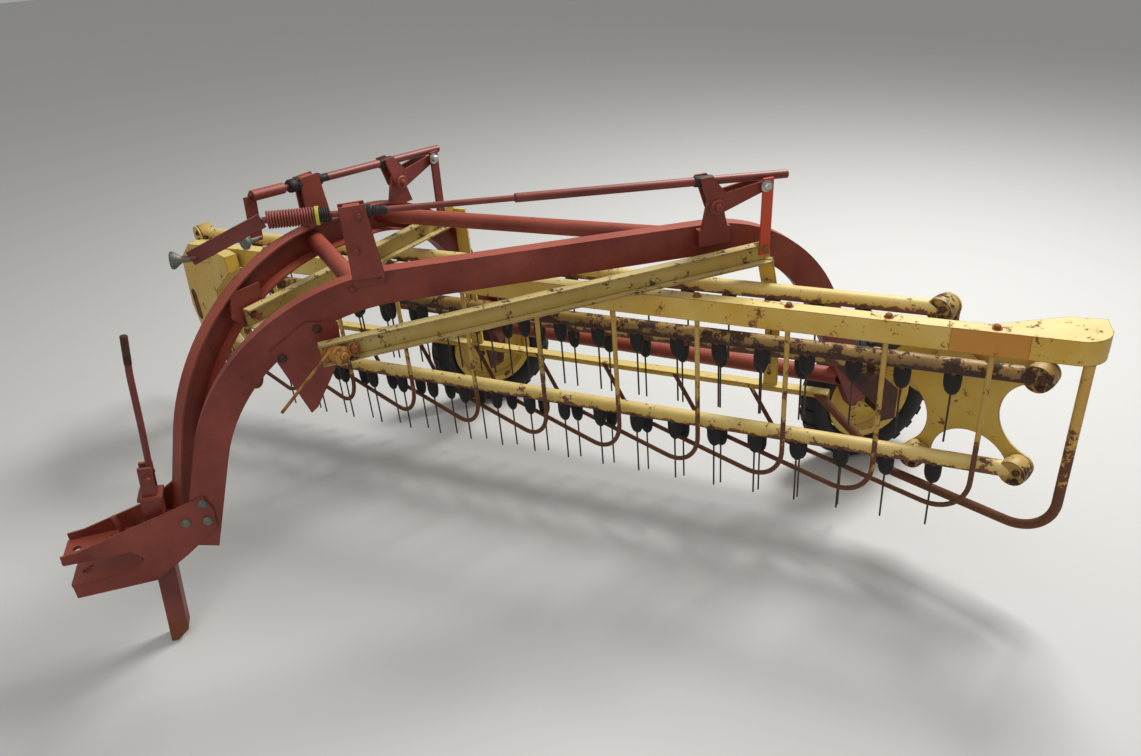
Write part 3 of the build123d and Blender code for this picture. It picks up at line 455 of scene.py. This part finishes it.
# Bell cranks and straps: forged boss and nut on each pivot, a zinc-plated bolt at each
# strap's top, a rusty one at its foot, and a greasy cuff where the rod passes the fork.
CRANK_HALF, STRAP_FACE, STRAP_TOP = 0.027, 0.045, 1.390
for side in ("left", "right"):
    pivot = Vector(joints["crank_" + side]["pos_m"])
    out = rail_out[side]
    boss = lathe([(0.026, 0.0), (0.027, 0.002), (0.027, 0.008), (0.024, 0.011), (0.013, 0.0115),
                  (0.012, 0.019), (0.009, 0.021)])
    hang(strewn(boss, [facing(pivot + out * CRANK_HALF, out)]),
         "crank_boss_" + side, "crank_" + side, red)
    stub = Vector(joints["strap_" + side]["pos_m"])
    top_hole = stub + out * STRAP_FACE + Vector((0, 0, STRAP_TOP - PIN_HEIGHT - stub.z))
    hang(strewn(hex_bolt(0.024), [facing(top_hole, out, 0.4)]), "strap_bolt_" + side, "strap_" + side,
         bright_zinc)
    hang(strewn(hex_bolt(0.020), [facing(stub + out * STRAP_FACE, out, 0.2)]), "strap_foot_bolt_" + side,
         "strap_" + side, orange_rust)
    grip = on_rail(side, (2.288 if side == "left" else 1.576), 1.4292, ROD_SPOTS[side][2])
    cuff = lathe([(0.0175, -0.034), (0.0190, -0.030), (0.0190, 0.030), (0.0175, 0.034)])
    hang(strewn(cuff, [facing(grip, rod_way[side])]), "rod_cuff_" + side, "rod_" + side,
         greasy_steel)

# Stand: the lever's end is rubbed bare, a pin with a nut holds it in its yoke, and a small
# painted peg stands between the hitch plates.
LEVER_TIP = Vector((0.0, 0.372, 1.216 - PIN_HEIGHT))
LEVER_WAY = Vector((0.0, -0.022, -0.136)).normalized()
bare_end = lathe([(0.0105, -0.001), (0.0122, 0.001), (0.0122, 0.098), (0.0112, 0.100)])
hang(strewn(bare_end, [facing(LEVER_TIP, LEVER_WAY)]), "lever_grip", "stand", dark_steel)
LEVER_PIN, YOKE_HALF = (0.2995, 0.7025), 0.0255
spots = [facing(Vector((side * YOKE_HALF, LEVER_PIN[0], LEVER_PIN[1] - PIN_HEIGHT)), (side, 0, 0))
         for side in (1, -1)]
hang(strewn(hex_bolt(0.020), spots), "lever_pin_nuts", "stand", stand_red)
PEG_FOOT, PEG_TOP = Vector((0.0, 0.160, 0.068)), Vector((0.0, 0.146, 0.152))
peg = lathe([(0.0090, 0.0), (0.0095, 0.002), (0.0095, 0.083), (0.0085, 0.0855)])
hang(strewn(peg, [facing(PEG_FOOT, PEG_TOP - PEG_FOOT)]), "hitch_peg", "frame", red)


# Wheels: cross-ply farm tyres of natural rubber on pressed discs. A tyre is bent up from a
# ring, its crown is flattened, and lugs are pushed out of every second face of the tread.
def aged_rubber(name, dark, light):
    """Black rubber with a grey bloom."""
    m = new_material(name)
    place = add(m, "ShaderNodeTexCoord").outputs["Object"]
    cloud = add(m, "ShaderNodeTexNoise", {"Vector": place, "Scale": 12.0, "Detail": 7.0, "Roughness": 0.65})
    fine = add(m, "ShaderNodeTexNoise", {"Vector": place, "Scale": 300.0, "Detail": 3.0})
    skin = add(m, "ShaderNodeMix", {"Factor": cloud.outputs["Fac"], "A": linear(dark), "B": linear(light)},
               data_type="RGBA")
    relief = add(m, "ShaderNodeBump", {"Height": fine.outputs["Fac"], "Strength": 0.2, "Distance": 0.0006})
    shader = add(m, "ShaderNodeBsdfPrincipled", {"Base Color": skin.outputs["Result"], "Roughness": 0.78,
                                                 "Normal": relief.outputs["Normal"]})
    add(m, "ShaderNodeOutputMaterial", {"Surface": shader.outputs["BSDF"]})
    return m


rubber = aged_rubber("aged tyre rubber", "0d0d0e", "2b2a29")
boot_rubber = aged_rubber("moulded boot rubber", "0b0b0c", "211f1e")
TYRE_R, BEAD_R, TYRE_HALF, LUG, TREAD_FACES = 0.293, 0.1905, 0.065, 0.0075, 96
TREAD_DEPTH, BOLTS_PER_WHEEL, LUG_CIRCLE, HUB_HALF = 0.022, 5, 0.062, 0.048
for side in ("left", "right"):
    centre = Vector(joints["wheel_" + side]["pos_m"])
    deselect()
    bpy.ops.mesh.primitive_torus_add(major_radius=(TYRE_R + BEAD_R) / 2, minor_radius=(TYRE_R - BEAD_R) / 2,
                                     major_segments=TREAD_FACES, minor_segments=20)
    tyre = bpy.context.object
    crown = (TYRE_R + BEAD_R) / 2
    for vertex in tyre.data.vertices:
        reach = Vector((vertex.co.x, vertex.co.y)).length
        swell = (reach - crown) / (TYRE_R - crown)
        squarer = min(1.0, 1.16 - 0.16 * abs(swell))
        vertex.co.z *= squarer * TYRE_HALF / ((TYRE_R - BEAD_R) / 2)
    bpy.ops.object.mode_set(mode="EDIT")
    bpy.ops.mesh.select_all(action="DESELECT")
    bpy.ops.mesh.select_mode(type="FACE")
    bpy.ops.object.mode_set(mode="OBJECT")
    for face in tyre.data.polygons:
        reach = Vector((face.center.x, face.center.y)).length
        sector = int((atan2(face.center.y, face.center.x) + pi) / (2 * pi) * TREAD_FACES)
        offset = 0 if face.center.z > 0 else 1
        face.select = reach > TYRE_R - TREAD_DEPTH and (sector // 2 + offset) % 2 == 0
    bpy.ops.object.mode_set(mode="EDIT")
    bpy.ops.mesh.extrude_region_shrink_fatten(TRANSFORM_OT_shrink_fatten={"value": LUG})
    bpy.ops.mesh.select_all(action="SELECT")
    bpy.ops.mesh.normals_make_consistent(inside=False)
    bpy.ops.object.mode_set(mode="OBJECT")
    bpy.ops.object.shade_smooth_by_angle(angle=radians(40))
    tyre = strewn(tyre, [facing(centre, (1, 0, 0))])
    hang(tyre, "treaded_tyre_" + side, "wheel_" + side, rubber)
    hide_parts(side + "_tyre")
    cap = lathe([(0.033, -0.004), (0.034, 0.004), (0.033, 0.018), (0.028, 0.027), (0.016, 0.032),
                 (0.004, 0.033)])
    hang(strewn(cap, [facing(centre - Vector((HUB_HALF - 0.002, 0, 0)), (-1, 0, 0))]), "hub_cap_" + side,
         "wheel_" + side, dark_steel)
    spots = []
    for k in range(BOLTS_PER_WHEEL):
        a = 2 * pi * k / BOLTS_PER_WHEEL
        spoke = Vector((0, cos(a), sin(a))) * LUG_CIRCLE
        spots += [facing(centre + spoke - Vector((0.0095, 0, 0)), (-1, 0, 0)),
                  facing(centre + spoke + Vector((0.0015, 0, 0)), (1, 0, 0))]
    hang(strewn(hex_bolt(0.017), spots), "wheel_bolts_" + side, "wheel_" + side, dark_steel)


# Basket: the beam, angle, strippers, end tubes and arms are welded steel in yellow enamel
# that is mottled pale, painted lighter cream on top as painted sunlight, and rusted brown from below, where
# hay and dust rub it.
def worn_yellow_with_painted_light(name, fresh, faded_and_sunlit, rust, below=None, under=0.0, dark="3d2115", light="7a4a2c"):
    """Yellow enamel over rusted steel, painted lighter on faces that look up as painted sunlight."""
    return weathered_enamel_with_painted_light(name, fresh, faded_and_sunlit, rust, dark, light, 0.5, below, under)


# The lighter second colour of each yellow stands both for paint worn pale and for painted sunlight on upward
# faces
yellow = worn_yellow_with_painted_light("faded yellow enamel", "c39a2c", "d8c070", 0.135)
beam_yellow = worn_yellow_with_painted_light("faded yellow enamel of the beam", "c39a34", "dcc67c", 0.15, None, 0.0,
                          "4a2616", "96592c")
arm_yellow = worn_yellow_with_painted_light("grimy yellow enamel of the suspension arms", "a98a3c", "cdb97a", 0.165, None, 0.0,
                         "30241c", "66492f")
tube_yellow = worn_yellow_with_painted_light("rusting yellow enamel of the end tubes", "bb8c2e", "cfb468", 0.13, (-0.14, 0.42))
stripper_yellow = worn_yellow_with_painted_light("rusting yellow enamel of the strippers", "b08630", "cdb468", 0.145,
                              (-0.20, 0.34))
bar_yellow = worn_yellow_with_painted_light("chalked yellow enamel of the tine bars", "c4a03f", "dec57c", 0.15, None, 0.30,
                         "4f2c1e", "8a5a44")
far_bar = worn_yellow_with_painted_light("half rusted tine bar", "b08f4c", "cdb57e", 0.19, None, 0.32, "43281f", "7d5644")
dark_bar = worn_yellow_with_painted_light("rusted tine bar", "6f5128", "a3813f", 0.245, None, 0.25, "2a1a14", "53382a")
paint(["rear_angle", "hanger_left", "hanger_right", "end_arm_front", "end_arm_rear", "head_front",
       "head_rear", "left_rim", "right_rim"], yellow)
paint(["lift_arm_left", "lift_arm_right"], arm_yellow)
paint(["front_beam"], beam_yellow)
paint(["end_tube_front", "end_tube_rear"], tube_yellow)
paint(["strippers"], stripper_yellow)
paint(["tine_bar_2", "tine_bar_5"], bar_yellow)
paint(["tine_bar_3", "tine_bar_4"], far_bar)
paint(["tine_bar_1"], dark_bar)
paint(["left_tyre", "right_tyre"], rubber)

BASKET = Vector((-0.870, 1.006, 0.0))
ALONG, ACROSS = Vector((0.6428, 0.7660, 0.0)), Vector((-0.7660, 0.6428, 0.0))
SWEEP, NORMAL = Vector((-0.8988, -0.4384, 0.0)), Vector((-0.4384, 0.8988, 0.0))
BEAM_TOP, BEAM_FACE = 1.045, -0.027


def in_basket(u, w, z):
    """The point u along the beam, w behind it and z over the ground."""
    return BASKET + ALONG * u + ACROSS * w + Vector((0, 0, z - PIN_HEIGHT))


# A rusty bolt holds each stripper under the beam, and an orange band is left of old paint
STRIPPER_FIRST, STRIPPER_STEP, STRIPPER_COUNT = -0.320, 0.320, 10
spots = [facing(in_basket(STRIPPER_FIRST + STRIPPER_STEP * i, 0.0, BEAM_TOP), (0, 0, 1), 0.3 * i)
         for i in range(STRIPPER_COUNT)]
hang(strewn(hex_bolt(0.019), spots), "stripper_bolts", "basket", orange_rust)
ORANGE_BAND = (2.430, 2.660, 0.962, 1.045, 0.0016)
low, high, bottom, top, thick = ORANGE_BAND
deselect()
bpy.ops.mesh.primitive_cube_add(size=1)
band = bpy.context.object
bpy.ops.transform.resize(value=(high - low, thick, top - bottom))
seal()
bpy.ops.object.mode_set(mode="EDIT")
bpy.ops.mesh.select_all(action="SELECT")
bpy.ops.mesh.bevel(offset=0.0004, segments=1)
bpy.ops.object.mode_set(mode="OBJECT")
middle = in_basket((low + high) / 2, BEAM_FACE, (bottom + top) / 2)
turned = Matrix.Translation(middle) @ Matrix.Rotation(atan2(ALONG.y, ALONG.x), 4, "Z")
amber = weathered_enamel_with_painted_light("amber film", "b87a22", "c98f38", 0.09, gloss=0.35)
hang(strewn(band, [turned]), "amber_band", "basket", amber)

# Reel bearing: at the rear arm a cast hub with a washer and nut, yellow gone to rust
hub_yellow = worn_yellow_with_painted_light("rusted cast hub", "9a7430", "b99a58", 0.2)
ARM_OUTER = 0.090
hub = lathe([(0.052, -0.001), (0.052, 0.016), (0.049, 0.022), (0.032, 0.026), (0.031, 0.050), (0.027, 0.053)],
            sides=32)
hub_face = Vector(joints["reel_spin"]["pos_m"]) + NORMAL * ARM_OUTER
hang(strewn(hub, [facing(hub_face, NORMAL)]), "reel_hub", "basket", hub_yellow)
hang(strewn(hex_bolt(0.034), [facing(hub_face + NORMAL * 0.053, NORMAL, 0.2)]), "reel_hub_nut", "basket",
     orange_rust)

# Near suspension arm: its pivot ends in a big stepped nut of rusty yellow steel over a round
# washer. A cotter ring and a bolt sit behind it, and a thin rusty rod hangs from it on a slant.
PIVOT = Vector(joints["basket_lift"]["pos_m"])
pivot_way = Vector(joints["basket_lift"]["axis"]).normalized()
rusty_yellow = worn_yellow_with_painted_light("rusty yellow casting", "a06c26", "bd8f48", 0.2, None, 0.1, "46230f", "9a5f2a")
stepped = lathe([(0.040, -0.003), (0.041, 0.0), (0.041, 0.006), (0.028, 0.008), (0.028, 0.024),
                 (0.031, 0.026), (0.031, 0.034), (0.027, 0.036), (0.027, 0.050), (0.030, 0.052),
                 (0.030, 0.060), (0.022, 0.064), (0.0135, 0.065), (0.0130, 0.078), (0.010, 0.080)],
                sides=32)
WEB_AT = 0.009
hang(strewn(stepped, [facing(PIVOT + pivot_way * WEB_AT, pivot_way)]), "pivot_nut", "basket",
     rusty_yellow)
deselect()
bpy.ops.mesh.primitive_torus_add(major_radius=0.021, minor_radius=0.0024, major_segments=28, minor_segments=8)
ring = bpy.context.object
bpy.ops.object.shade_smooth_by_angle(angle=radians(60))
COTTER_AT = Vector((0.160, 1.052, 1.098 - PIN_HEIGHT))
hang(strewn(ring, [facing(COTTER_AT, (0.8, 0.5, 0.35))]), "cotter_ring", "basket", orange_rust)
hang(strewn(hex_bolt(0.024), [facing(COTTER_AT - Vector((0.010, 0, 0)), (1, 0, 0))]), "arm_front_bolt",
     "basket", orange_rust)
SLANT_TOP, SLANT_END, SLANT_R = Vector((0.150, 0.977, 0.682)), Vector((0.150, 0.785, 0.497)), 0.0055
slant_way = SLANT_END - SLANT_TOP
slant = lathe([(SLANT_R * 0.8, 0.0), (SLANT_R, 0.002), (SLANT_R, slant_way.length - 0.002),
               (SLANT_R * 0.8, slant_way.length)], sides=16)
hang(strewn(slant, [facing(SLANT_TOP, slant_way)]), "slant_rod", "basket", rusty_yellow)

# Front end arm: an oblong hole with rusted edges shows on its outer face
SLOT_T, SLOT_Z, SLOT_SIDE = 0.567, 0.6625, 0.130
SLOT_R, SLOT_HALF = 0.027, 0.053
slot_rust = rusted_steel("rusted slot edge", "2a160d", "7a4521", 0.1, 0.85)
slot_middle = in_basket(-0.382, 0.0, SLOT_Z) + SWEEP * SLOT_T - NORMAL * SLOT_SIDE
deselect()
bpy.ops.mesh.primitive_circle_add(vertices=32, radius=SLOT_R, fill_type="NGON")
slot_lip = bpy.context.object
bpy.ops.object.mode_set(mode="EDIT")
bpy.ops.mesh.select_all(action="DESELECT")
bpy.ops.object.mode_set(mode="OBJECT")
for vertex in slot_lip.data.vertices:
    vertex.co.y += SLOT_HALF if vertex.co.y > 0 else -SLOT_HALF
bpy.ops.object.mode_set(mode="EDIT")
bpy.ops.mesh.select_all(action="SELECT")
bpy.ops.mesh.extrude_region_move(TRANSFORM_OT_translate={"value": (0, 0, 0.003)})
bpy.ops.mesh.inset(thickness=0.006, depth=0.0)
bpy.ops.mesh.extrude_region_move(TRANSFORM_OT_translate={"value": (0, 0, -0.0022)})
bpy.ops.mesh.select_all(action="SELECT")
bpy.ops.mesh.normals_make_consistent(inside=False)
bpy.ops.object.mode_set(mode="OBJECT")
upright = Matrix((-SWEEP, Vector((0, 0, 1)), -NORMAL)).transposed().to_4x4()
hang(strewn(slot_lip, [Matrix.Translation(slot_middle) @ upright]), "end_arm_slot", "basket",
     slot_rust)

# Tine bars: pipes carried by a pin at each star head. A pressed knuckle cap sits on each pin,
# and hexagon bolts are set for the saddle clips of the tine boots, which are not drawn.
KNUCKLE = [(0.036, -0.0335), (0.044, -0.031), (0.0475, -0.024), (0.049, 0.0), (0.0475, 0.024), (0.044, 0.031),
           (0.036, 0.0335)]
patchy = worn_yellow_with_painted_light("patchy knuckle cap", "9a7430", "bd9c52", 0.225, None, 0.15, "261812", "5d3c28")
FRONT_Q, REAR_Q = -0.382, 2.897
BAR_SPAN = REAR_Q - FRONT_Q
front_side = Vector((0.766, -0.643, 0.0))
CAP_REACH, CAP_BOLT_RISE = 0.047, 0.018
for k in range(1, 6):
    out = Vector(joints["bar_turn_%d" % k]["axis"]).normalized()
    rear_pin = Vector(joints["bar_turn_%d" % k]["pos_m"])
    front_pin = rear_pin - ALONG * BAR_SPAN
    cap = lathe(KNUCKLE, sides=32)
    hang(strewn(cap, [facing(rear_pin, out), facing(front_pin, out)]), "knuckle_caps_%d" % k, "bar_%d" % k,
         patchy)
    spots = [facing(pin + front_side * CAP_REACH + Vector((0, 0, rise)), front_side, 0.3)
             for pin in (rear_pin, front_pin) for rise in (CAP_BOLT_RISE, -CAP_BOLT_RISE)]
    hang(strewn(hex_bolt(0.015), spots), "knuckle_bolts_%d" % k, "bar_%d" % k, dark_steel)

# Tine boots: moulded rubber cones that carry each pair of wires under the bar, each with the
# one bolt of its pressed steel saddle clip; the clip itself is not drawn.
BOOT = [(0.029, -0.024), (0.031, -0.040), (0.030, -0.070), (0.026, -0.088), (0.0195, -0.100), (0.010, -0.108)]
TOOTH_FIRST, TOOTH_STEP, TOOTH_COUNT = -0.080, 0.160, 18
BOOT_FLAT, BAR_SIDE, CLIP_DROP = 0.70, 0.026, 0.012
wire_steel = rusted_steel("dull spring steel", "2b211d", "5b4a40", 0.6, 0.55)
clip_steel = rusted_steel("rusted saddle clip", "33201a", "6a4a38", 0.2, 0.75)
paint(["teeth_%d" % k for k in range(1, 6)], wire_steel)
for k in range(1, 6):
    rear_pin = Vector(joints["bar_turn_%d" % k]["pos_m"])
    front_pin = rear_pin - ALONG * BAR_SPAN
    spots = []
    clips = []
    for j in range(TOOTH_COUNT):
        q = TOOTH_FIRST + TOOTH_STEP * j
        place = front_pin + ALONG * (q - FRONT_Q)
        spots.append(Matrix.Translation(place) @ Matrix.Rotation(atan2(SWEEP.y, SWEEP.x), 4, "Z")
                     @ Matrix.Diagonal((1.0, BOOT_FLAT, 1.0, 1.0)))
        clips.append(facing(place - ACROSS * BAR_SIDE - Vector((0, 0, CLIP_DROP)), -ACROSS, 0.5))
    boot = lathe(BOOT, sides=20)
    hang(strewn(boot, spots), "boots_%d" % k, "bar_%d" % k, boot_rubber)
    hang(strewn(hex_bolt(0.013), clips), "clip_bolts_%d" % k, "bar_%d" % k, clip_steel)
